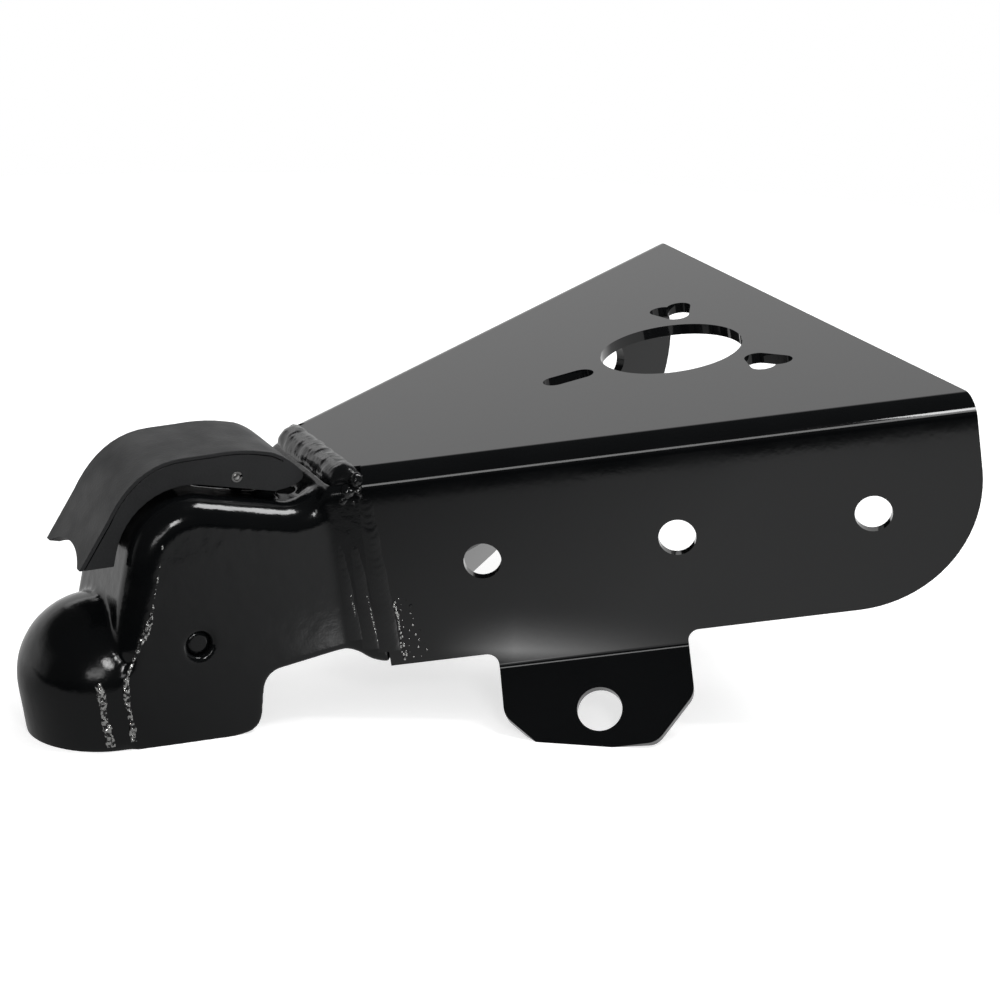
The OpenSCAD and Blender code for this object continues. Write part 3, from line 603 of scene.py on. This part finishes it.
def bead_tree():
    tree, given = new_tree(
        "weld_bead", ("Step", "Across", "Thick", "Pitch", "Ripple", "Bow", "Lump size",
                      "Lump depth"), (("Outward", "Vector"), ("Seed", "Float")))
    steps = add_node(tree, "GeometryNodeResampleCurve", {
        "Curve": given["Geometry"], "Length": given["Step"]}, mode="LENGTH")
    turned = add_node(tree, "GeometryNodeSetCurveNormal", {
        "Curve": steps, "Normal": given["Outward"]}, mode="FREE")
    spline = add_node(tree, "GeometryNodeSplineParameter")
    marked = add_node(tree, "GeometryNodeStoreNamedAttribute", {
        "Geometry": turned, "Name": "along", "Value": spline.outputs["Length"]},
        data_type="FLOAT")
    ring = add_node(tree, "GeometryNodeCurvePrimitiveCircle", {"Resolution": 40, "Radius": 1.0})
    squash = add_node(tree, "ShaderNodeCombineXYZ", {0: given["Thick"], 1: given["Across"], 2: 1.0})
    section = add_node(tree, "GeometryNodeTransform", {"Geometry": ring, "Scale": squash})
    round_it = add_node(tree, "GeometryNodeSplineParameter")
    profile = add_node(tree, "GeometryNodeStoreNamedAttribute", {
        "Geometry": section, "Name": "around", "Value": round_it.outputs["Factor"]},
        data_type="FLOAT")
    bar = add_node(tree, "GeometryNodeCurveToMesh", {
        "Curve": marked, "Profile Curve": profile,
        "Scale": add_node(tree, "GeometryNodeInputRadius"), "Fill Caps": True})

    length = add_node(tree, "GeometryNodeInputNamedAttribute", {"Name": "along"})
    turn = add_node(tree, "GeometryNodeInputNamedAttribute", {"Name": "around"})
    angle = add_node(tree, "ShaderNodeMath", {0: turn, 1: 2 * math.pi}, operation="MULTIPLY")
    sideways = add_node(tree, "ShaderNodeMath", {0: angle}, operation="SINE")
    squared = add_node(tree, "ShaderNodeMath", {0: sideways, 1: 2.0}, operation="POWER")
    place = add_node(tree, "GeometryNodeInputPosition")
    uneven = noise_about_zero(tree, place, UNEVEN_MM * MM, UNEVEN_TRAVEL_MM * MM, given["Seed"])
    bowed = add_node(tree, "ShaderNodeMath", {0: squared, 1: given["Bow"], 2: length},
                     operation="MULTIPLY_ADD")
    travel = add_node(tree, "ShaderNodeMath", {0: bowed, 1: uneven}, operation="ADD")
    waves = add_node(tree, "ShaderNodeMath", {0: travel, 1: given["Pitch"]}, operation="DIVIDE")
    phase = add_node(tree, "ShaderNodeMath", {0: waves, 1: math.pi}, operation="MULTIPLY")
    swing = add_node(tree, "ShaderNodeMath", {0: phase}, operation="SINE")
    crest = add_node(tree, "ShaderNodeMath", {0: swing}, operation="ABSOLUTE")
    level = add_node(tree, "ShaderNodeMath", {0: crest, 1: MEAN_CREST}, operation="SUBTRACT")
    lumps = noise_about_zero(tree, place, given["Lump size"], given["Lump depth"], given["Seed"])
    height = add_node(tree, "ShaderNodeMath", {0: level, 1: given["Ripple"], 2: lumps},
                      operation="MULTIPLY_ADD")
    return finish_tree(tree, pushed_out(tree, bar, height), given)


weld_bead = bead_tree()

# %% [markdown]
# The tree needs curves to work on. Each run of points, with a radius at every point, becomes one
# smooth curve from the first point to the last. When the tree has run, its result is kept as plain
# mesh, and the two attributes that it only needed on the way are dropped.

# %% Curves for the beads
def path_curve(name, runs):
    curve = bpy.data.curves.new(name, "CURVE")
    curve.dimensions = "3D"
    for run in runs:
        spline = curve.splines.new("NURBS")
        spline.points.add(len(run) - 1)
        for point, (x, y, z, radius) in zip(spline.points, run):
            point.co = (x * MM, y * MM, z * MM, 1.0)
            point.radius = radius
        spline.use_endpoint_u = True
        spline.order_u = 4
    return new_piece(name, curve)


def bake_curve(piece):
    name, mesh = piece.name, baked_mesh(piece)
    for layer in ("along", "around"):
        if layer in mesh.attributes:
            mesh.attributes.remove(mesh.attributes[layer])
    bpy.data.objects.remove(piece)
    mesh.shade_smooth()
    return new_piece(name, mesh)


# %% [markdown]
# The plate's flanges stand at 25 degrees to the centre line. Points on them are easiest to give
# along the fold, square to it and up, so one function turns such a point into the frame. The fold
# is counted from its rear end, so points towards the head have a negative distance.

# %% Points on the flanges
PLATE_REAR, FOLD_REAR_Y = 67.0, 140.93
FLANGE_LENGTH, BEND_OUT = 254.05, 8.96


def on_flange(along, inward, up, side):
    x = PLATE_REAR + along * math.cos(FRAME_ANGLE) + inward * math.sin(FRAME_ANGLE)
    y = -FOLD_REAR_Y - along * math.sin(FRAME_ANGLE) + inward * math.cos(FRAME_ANGLE)
    return x, -side * y, up


print("front end of the near fold:", [round(v, 1) for v in on_flange(-FLANGE_LENGTH, 0, 0, -1)])

# %% [markdown]
# One bead runs across the plate's front edge and turns down over both folds, where it gets thinner.
# Its path is a straight line of points with a short run added at each end.

# %% Weld across the front of the plate
BEAD_X, BEAD_Z, BEAD_HALF, BEAD_STEP = -171.4, -4.4, 30, 3


def wrap_run(side):
    return [(-170.6, side * 33.0, -4.6, 0.97), (-170.2, side * 35.6, -6.2, 0.86),
            (-169.6, side * 37.0, -9.2, 0.72), (-168.9, side * 37.6, -13.0, 0.56)]


top_line = [(BEAD_X, y, BEAD_Z, 1.0) for y in range(-BEAD_HALF, BEAD_HALF + 1, BEAD_STEP)]
top_path = list(reversed(wrap_run(-1))) + top_line + wrap_run(1)
top_weld = path_curve("weld_bead_top", [top_path])
add_tree(top_weld, weld_bead, Step=0.4 * MM, Across=7.2 * MM, Thick=5.7 * MM, Pitch=3.1 * MM,
         Ripple=0.055 * MM, Bow=11 * MM, Lump_size=8 * MM, Lump_depth=1.9 * MM,
         Outward=(-0.45, 0.0, 0.9), Seed=7.0, Finish=weld_enamel)
top_weld = bake_curve(top_weld)
dress(top_weld, weld_enamel, "coupler", "painted_weld", "weld_top")

# %% [markdown]
# Where the bead turns down over each fold, the torch was stopped and started again. That left a
# cluster of round lumps, made here as a few balls whose skin the rough-cast tree then disturbs.
# Each ball has a centre on the far side and a radius, in millimetres.

# %% Lumps at both folds
LUMPS = ((-167.4, 37.6, -4.4, 3.5), (-171.8, 36.9, -8.4, 3.4), (-174.2, 36.0, -11.6, 2.9),
         (-165.0, 40.4, -7.4, 1.9), (-170.4, 37.6, -13.0, 2.6), (-167.8, 38.8, -9.8, 2.5))


def weld_lumps(name, side, seed):
    mesh = bpy.data.meshes.new(name)
    bm = bmesh.new()
    for x, y, z, radius in LUMPS:
        centre = Matrix.Translation((x * MM, side * y * MM, z * MM))
        bmesh.ops.create_icosphere(bm, subdivisions=4, radius=radius * MM, matrix=centre)
    bm.to_mesh(mesh)
    bm.free()
    piece = new_piece(name, mesh)
    add_tree(piece, rough_cast, Wave_length=3.2 * MM, Wave_depth=2.2 * MM, Grain_size=1.3 * MM,
             Grain_depth=0.4 * MM, Seed=seed, Finish=weld_enamel)
    bake_modifiers(piece)
    piece.data.shade_smooth()
    dress(piece, weld_enamel, "coupler", "painted_weld")


weld_lumps("weld_lumps_near", -1, seed=41.0)
weld_lumps("weld_lumps_far", 1, seed=42.0)

# %% [markdown]
# The joint between the head and each flange was filled by three passes side by side, running down
# the wall and lying almost flush. Only their low crests and the ragged toe of the last one show.
# Each pass is given by its place along the wall, its upper and lower end, its half width, and how
# deep its axis lies in the wall at the lower and at the upper end.

# %% Welds down the flanges
SEAM_WIDTH, SEAM_THICK, SEAM_STEP = 4.2, 1.25, 5
SEAM_PASSES = ((-13.6, -15, -80, 4.2, 0.55, 1.5),
               (-7.2, -15, -82, 4.2, 0.55, 1.5),
               (0.4, -12, -86, 6.2, 1.1, 1.72))


def seam_run(side, along, top, bottom, width, depth_low, depth_high):
    run = []
    for z in range(top, bottom, -SEAM_STEP):
        depth = depth_low + (depth_high - depth_low) * (z - bottom) / (top - bottom)
        spot = on_flange(-FLANGE_LENGTH + along, -BEND_OUT + depth, z, side)
        run.append((*spot, width / SEAM_WIDTH))
    return run


def seam_weld(name, side, replaced, seed):
    piece = path_curve(name, [seam_run(side, *one) for one in SEAM_PASSES])
    outward = (-math.sin(FRAME_ANGLE), side * math.cos(FRAME_ANGLE), 0.0)
    add_tree(piece, weld_bead, Step=0.5 * MM, Across=SEAM_WIDTH * MM, Thick=SEAM_THICK * MM,
             Pitch=3.4 * MM, Ripple=0.03 * MM, Bow=5 * MM, Lump_size=13 * MM,
             Lump_depth=0.45 * MM, Outward=outward, Seed=seed, Finish=weld_enamel)
    piece = bake_curve(piece)
    dress(piece, weld_enamel, "coupler", "painted_weld", replaced)


seam_weld("weld_passes_near", -1, "weld_near", seed=11.0)
seam_weld("weld_passes_far", 1, "weld_far", seed=12.0)

# %% [markdown]
# Two ragged lines run over each side of the head: the front edge of the side panel and the foot of
# the nose, where iron squeezed into the joint of the mould and was ground off roughly. The weld
# tree makes these as well, thin, without ripples and with coarse lumps. Each point has its place on
# the far side and a share of the line's width.

# %% Rough lines on the casting
PANEL_EDGE = ((-253.6, 34.4, -9.5, 0.1), (-255.6, 34.4, -15.6, 0.2), (-258.5, 34.4, -23.8, 0.1),
              (-262.0, 34.4, -33.0, 0.2), (-264.2, 34.5, -38.0, 0.7), (-266.5, 34.5, -43.1, 1.0),
              (-270.8, 34.3, -49.6, 0.9), (-274.7, 33.6, -55.6, 0.3), (-279.2, 34.2, -61.6, 0.5),
              (-280.7, 34.3, -67.0, 1.3), (-280.8, 34.4, -72.0, 0.6), (-281.0, 34.4, -77.0, 1.0),
              (-281.2, 34.4, -82.0, 0.4), (-281.2, 34.4, -86.0, 1.1), (-281.3, 34.2, -90.5, 0.9))
NOSE_FOOT = ((-291.2, 32.7, -61.5, 0.9), (-291.0, 33.0, -65.0, 1.5), (-291.1, 33.2, -69.0, 1.3),
             (-291.2, 33.2, -74.0, 0.7), (-291.4, 33.2, -79.0, 1.0), (-291.3, 33.1, -84.0, 1.4),
             (-291.2, 33.0, -90.5, 1.1))


def rough_lines(name, runs, width_mm, side, seed, slot_name):
    sided_runs = [[(x, side * y, z, radius) for x, y, z, radius in run] for run in runs]
    piece = path_curve(name, sided_runs)
    add_tree(piece, weld_bead, Step=0.3 * MM, Across=width_mm * MM, Thick=0.62 * width_mm * MM,
             Pitch=5 * MM, Ripple=0.0, Bow=0.0, Lump_size=1.6 * width_mm * MM,
             Lump_depth=2.0 * width_mm * MM, Outward=(0.0, float(side), 0.0), Seed=seed,
             Finish=ragged_enamel)
    piece = bake_curve(piece)
    dress(piece, ragged_enamel, "coupler", slot_name)


print("rough lines:", len(PANEL_EDGE), "points on the panel,", len(NOSE_FOOT), "on the nose")

# %% [markdown]
# The crest of each weld pass is rough too, and catches a thin bright line down the wall. The same
# function draws these, along paths that lean with the pass and are widest halfway down. Both kinds
# of line are then made, first on the near side and then on the far side.

# %% Crests of the weld passes
CREST_LEAN, CREST_PROUD = 0.06, 0.1
CREST_STEP, CREST_END_SHARE = 3, 0.4
SIDES = (("near", -1), ("far", 1))


def crest_streak(along_mm, top, bottom):
    run = []
    for z in range(top, bottom, -CREST_STEP):
        along = -FLANGE_LENGTH + along_mm + CREST_LEAN * (top - z)
        swell = math.sin(math.pi * (top - z) / (top - bottom))
        width = CREST_END_SHARE + (1 - CREST_END_SHARE) * swell
        run.append((*on_flange(along, -BEND_OUT + CREST_PROUD, z, 1), width))
    return run


STREAKS = (crest_streak(-12.6, -46, -74), crest_streak(-5.6, -50, -79), crest_streak(2.0, -70, -82))
for place, side in SIDES:
    rough_lines("casting_rough_edge_" + place, (PANEL_EDGE, NOSE_FOOT), width_mm=1.5, side=side,
                seed=21.0 + side, slot_name="painted_casting")
    rough_lines("weld_crest_streaks_" + place, STREAKS, width_mm=0.5, side=side,
                seed=25.0 + side, slot_name="painted_weld")

# %% [markdown]
# Welding throws off small drops that stick beside the bead. A second tree scatters little balls
# over a patch laid just under the flange's surface next to the last pass, each sunk by about half.
# Right at the toe they stand close and run into each other, and further out they are smaller and
# fewer. The corners of a patch are given along the wall and up.

# %% Spatter
TOE_PATCH = ((5.2, -87), (7.4, -87), (6.0, -60), (5.2, -58))
OUTER_PATCH = ((8.0, -86), (17.0, -86), (12.0, -60), (7.4, -56))
PATCH_DEPTH = 0.1
DROPS_PER_M2 = 2.0e6


def spatter_tree():
    tree, given = new_tree("weld_spatter", ("Spacing", "Smallest", "Largest", "Tall"),
                           (("Seed", "Int"),))
    drops = add_node(tree, "GeometryNodeDistributePointsOnFaces", {
        "Mesh": given["Geometry"], "Distance Min": given["Spacing"], "Density Max": DROPS_PER_M2,
        "Density Factor": 1.0, "Seed": given["Seed"]}, distribute_method="POISSON")
    size = add_node(tree, "FunctionNodeRandomValue", {
        2: given["Smallest"], 3: given["Largest"], "Seed": given["Seed"]},
        data_type="FLOAT").outputs[1]
    ball = add_node(tree, "GeometryNodeMeshIcoSphere", {"Radius": 1.0, "Subdivisions": 3})
    height = add_node(tree, "ShaderNodeMath", {0: size, 1: given["Tall"]}, operation="MULTIPLY")
    scale = add_node(tree, "ShaderNodeCombineXYZ", {0: size, 1: size, 2: height})
    laid = add_node(tree, "GeometryNodeInstanceOnPoints", {
        "Points": drops, "Instance": ball, "Scale": scale})
    return finish_tree(tree, laid, given)


weld_spatter = spatter_tree()


def spatter(name, side, patch, spacing, smallest, largest, tall, seed):
    corners = [on_flange(-FLANGE_LENGTH + along, -BEND_OUT + PATCH_DEPTH, z, side)
               for along, z in patch]
    mesh = bpy.data.meshes.new(name)
    mesh.from_pydata([[v * MM for v in corner] for corner in corners], [], [(0, 1, 2, 3)])
    piece = new_piece(name, mesh)
    add_tree(piece, weld_spatter, Spacing=spacing * MM, Smallest=smallest * MM,
             Largest=largest * MM, Tall=tall, Seed=seed, Finish=ragged_enamel)
    bake_modifiers(piece)
    piece.data.shade_smooth()
    dress(piece, ragged_enamel, "coupler", "painted_weld")


for place, side in SIDES:
    spatter("weld_toe_drops_" + place, side, TOE_PATCH, spacing=1.1, smallest=0.35, largest=0.95,
            tall=1.6, seed=31 + side)
    spatter("weld_spatter_" + place, side, OUTER_PATCH, spacing=2.6, smallest=0.2, largest=0.7,
            tall=1.2, seed=34 + side)

# %% [markdown]
# Below the upper edge of the handle runs a fine groove, the joint line between the two halves of
# the mould, which reads as a thin dark line. To find its path, the script walks along the edges
# where an outer side face meets the upper outline, and keeps the chain that reaches highest. A face
# belongs to the upper outline when its normal leans towards the handle's own way up.

# %% The groove's path
HANDLE_UP = Vector((-0.6, 0.0, 0.8))
UP_SHARE, ACROSS_SHARE, FLANK_SHARE = 0.15, 0.3, 0.99
TOUCH_MM = 0.02


def edge_links(bm, side, reach):
    """For each corner on one side's upper edges, its neighbours and the way up from the edge."""
    links = {}
    for edge in bm.edges:
        faces = edge.link_faces
        off_wall = any(abs(v.co.y - side * reach) > TOUCH_MM * MM for v in edge.verts)
        if len(faces) != 2 or off_wall:
            continue
        flank = [f for f in faces if f.normal.y * side > FLANK_SHARE]
        upper = [f for f in faces if abs(f.normal.y) < ACROSS_SHARE
                 and f.normal.dot(HANDLE_UP) > UP_SHARE]
        if flank and upper:
            for v, w in (edge.verts, reversed(edge.verts)):
                links.setdefault(v, []).append((w, upper[0].normal.copy()))
    return links


def top_edge_path(bm, side, reach, drop_mm):
    links = edge_links(bm, side, reach)
    chains, seen = [], set()
    for corner in [v for v, near in links.items() if len(near) == 1]:
        chain = []
        while corner is not None and corner not in seen:
            seen.add(corner)
            upward = sum((near[1] for near in links[corner]), Vector()).normalized()
            chain.append((corner.co - upward * drop_mm * MM, upward))
            corner = next((w for w, _ in links[corner] if w not in seen), None)
        if chain:
            chains.append(chain)
    return max(chains, key=lambda chain: max(spot.z for spot, _ in chain))


handle = merged_copy("handle", "moulded_handle")
flat_faces(handle)
print("handle before dressing:", len(handle.data.polygons), "faces")

# %% [markdown]
# A Boolean needs a closed solid to cut with. This one is a thin strip carried along the path: it
# starts a millimetre outside the wall, reaches as deep as the groove and is closed at both ends.

# %% The groove's cutter
GROOVE_DROP, GROOVE_WIDTH, GROOVE_DEPTH, OUTSIDE = 1.7, 0.55, 1.3, 1.0


def add_strip(bm, path, side):
    profile = ((1, OUTSIDE), (1, -GROOVE_DEPTH), (-1, -GROOVE_DEPTH), (-1, OUTSIDE))
    outward = Vector((0.0, float(side), 0.0))
    rings = [[bm.verts.new(spot + upward * up * GROOVE_WIDTH / 2 * MM + outward * out * MM)
              for up, out in profile] for spot, upward in path]
    for ring, after in zip(rings, rings[1:]):
        for i in range(4):
            j = (i + 1) % 4
            bm.faces.new((ring[i], ring[j], after[j], after[i]))
    bm.faces.new(rings[0])
    bm.faces.new(rings[-1])


source, strips = bmesh.new(), bmesh.new()
source.from_mesh(handle.data)
handle_half = max(v.co.y for v in source.verts)
for place, side in SIDES:
    path = top_edge_path(source, side, handle_half, GROOVE_DROP)
    add_strip(strips, path, side)
    print("groove on the", place, "side follows", len(path), "points")
bmesh.ops.recalc_face_normals(strips, faces=strips.faces)
cutter_mesh = bpy.data.meshes.new("groove")
strips.to_mesh(cutter_mesh)
source.free()
strips.free()

# %% [markdown]
# The handle is one moulding with soft edges all round. A bevel rounds them, but not those close to
# the pin, where it would open a gap round the pin's end. Then a Boolean cuts the groove, and
# weighted normals keep the flats flat.

# %% Handle
HANDLE_ROUND = 0.9
HANDLE_HARD_ANGLE = math.radians(38)
PIN_CLEAR = 4.0

pin_spots = [nodes["handle_pin"].matrix_world @ v.co for v in nodes["handle_pin"].data.vertices]
pin_low = Vector([min(p[i] for p in pin_spots) for i in range(3)])
pin_high = Vector([max(p[i] for p in pin_spots) for i in range(3)])
pin_centre = (pin_low + pin_high) / 2
pin_half = (pin_high.y - pin_low.y) / 2


def mark_bevels(piece):
    """Weights for the bevel: every hard edge but those close to the pin's axis."""
    bm = bmesh.new()
    bm.from_mesh(piece.data)
    weight = bm.edges.layers.float.new("bevel_weight_edge")
    for edge in bm.edges:
        gap = (edge.verts[0].co - pin_centre) * Vector((1.0, 0.0, 1.0))
        hard = len(edge.link_faces) == 2 and edge.calc_face_angle(0.0) > HANDLE_HARD_ANGLE
        edge[weight] = 1.0 if hard and gap.length > PIN_CLEAR * MM else 0.0
    bm.to_mesh(piece.data)
    bm.free()


mark_bevels(handle)
round_off = handle.modifiers.new("edge", "BEVEL")
round_off.limit_method = "WEIGHT"
round_off.width = HANDLE_ROUND * MM
round_off.segments = 3
cutter = new_piece("groove", cutter_mesh)
cut = handle.modifiers.new("groove", "BOOLEAN")
cut.operation = "DIFFERENCE"
cut.solver = "EXACT"
cut.object = cutter
bake_modifiers(handle)
bpy.data.objects.remove(cutter)
flat_normals(handle, HANDLE_HARD_ANGLE)
dress(handle, handle_nylon, "handle", "moulded_handle", "handle")

# %% [markdown]
# The lock arm and the jaw are forgings with rounded edges, and the pins are chamfered. They get a
# bevel as the plate does, each with a width of its own. The jaw's pin is painted over together with
# the head, so its end is rounded more and wears the casting's enamel. The springs are smooth wire,
# which a bevel would only spoil.

# %% Pins, springs, jaw and arm
def finished(node_name, piece_name, material, body, slot, bevel_mm=0, segments=2):
    piece = merged_copy(node_name, piece_name)
    if bevel_mm:
        flat_faces(piece)
        broken_edges(piece, bevel_mm, segments)
    else:
        piece.data.shade_smooth()
    dress(piece, material, body, slot, node_name)


finished("arm_pin", "lock_arm_pin", pin_steel, "coupler", "pin_steel", bevel_mm=0.3)
finished("jaw_pin", "jaw_pivot_pin", cast_enamel, "coupler", "painted_casting",
         bevel_mm=2.4, segments=5)
finished("lock_arm", "forged_lock_arm", forged_steel, "handle", "bare_steel", bevel_mm=0.6)
finished("ball_jaw", "forged_ball_jaw", forged_steel, "jaw", "bare_steel", bevel_mm=0.8)
finished("jaw_spring", "jaw_return_spring", wire_steel, "jaw", "spring_steel")
finished("lock_spring", "lock_arm_spring", wire_steel, "handle", "spring_steel")
finished("handle_pin", "slotted_roll_pin", pin_steel, "handle", "pin_steel", bevel_mm=0.15)

# %% [markdown]
# The pin through the handle shows as a bright disc with a ring round it: a rolled pin whose bore is
# closed by a turned core. The core is a lathe profile spun about the pin's own axis, with its ends
# just inside the pin's and slightly domed.

# %% Core of the handle's pin
CORE_RADIUS, CORE_FACE_RADIUS = 1.55, 1.1
CORE_INSET, CORE_DOME, CORE_CHAMFER = 0.05, 0.05, 0.25

face_y = -pin_half + CORE_INSET * MM
outline = [(0.0, face_y), (CORE_FACE_RADIUS * MM, face_y + CORE_DOME * MM),
           (CORE_RADIUS * MM, face_y + (CORE_DOME + CORE_CHAMFER) * MM)]
outline += [(r, -y) for r, y in reversed(outline)]
core_mesh = bpy.data.meshes.new("roll_pin_core")
bm = bmesh.new()
ring = [bm.verts.new(pin_centre + Vector((r, y, 0.0))) for r, y in outline]
chain = [bm.edges.new(pair) for pair in zip(ring, ring[1:])]
bmesh.ops.spin(bm, geom=ring + chain, cent=pin_centre, axis=(0.0, 1.0, 0.0), angle=2 * math.pi,
               steps=32, use_merge=True)
bmesh.ops.remove_doubles(bm, verts=bm.verts, dist=MERGE_MM * MM)
bmesh.ops.recalc_face_normals(bm, faces=bm.faces)
bm.to_mesh(core_mesh)
bm.free()
core = new_piece("roll_pin_core", core_mesh)
core_mesh.shade_smooth()
dress(core, wire_steel, "handle", "pin_steel")
